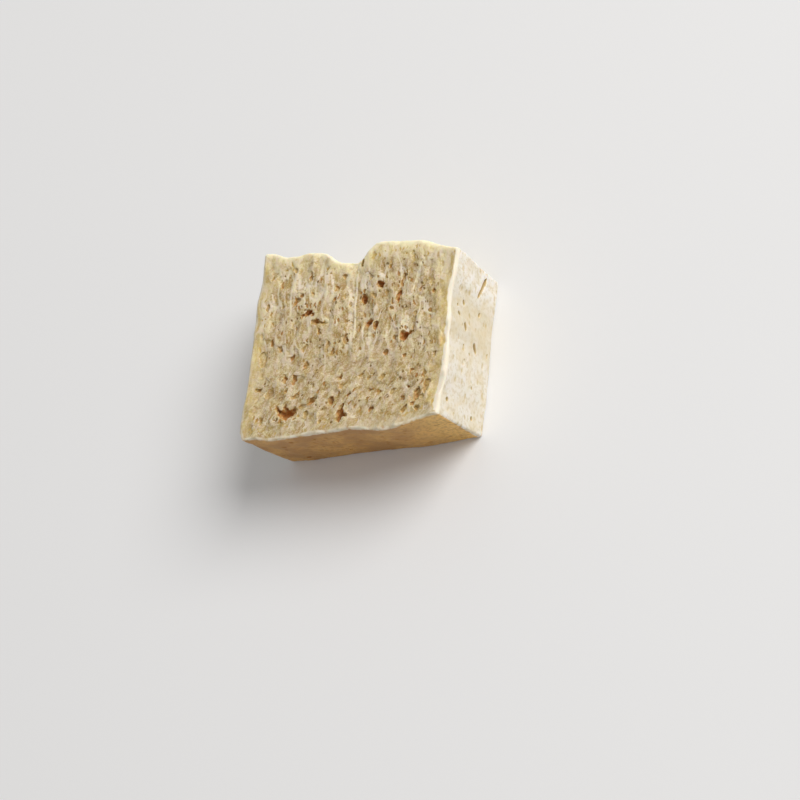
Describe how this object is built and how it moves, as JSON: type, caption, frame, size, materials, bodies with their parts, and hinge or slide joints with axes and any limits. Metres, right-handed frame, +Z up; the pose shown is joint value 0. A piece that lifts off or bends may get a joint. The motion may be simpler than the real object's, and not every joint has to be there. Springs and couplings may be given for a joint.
{
  "type": "frozen tofu block",
  "caption": "Thawed block of frozen tofu lying on its back skin: a worn, slightly tapered slab whose upper face is torn and full of irregular pores.",
  "frame": {"origin": "under the middle of the block's box, on the plane that its back skin rests on", "axes": "+X along the block's length, from its wide end to its narrow end; +Y towards the notched long edge; +Z up, out of the porous face"},
  "size_m": [0.0632, 0.0546, 0.0253],
  "materials": {
    "thawed_tofu": "matt, slightly moist sponge"
  },
  "bodies": {
    "root": {"tofu_block": "thawed_tofu"}
  },
  "joints": []
}
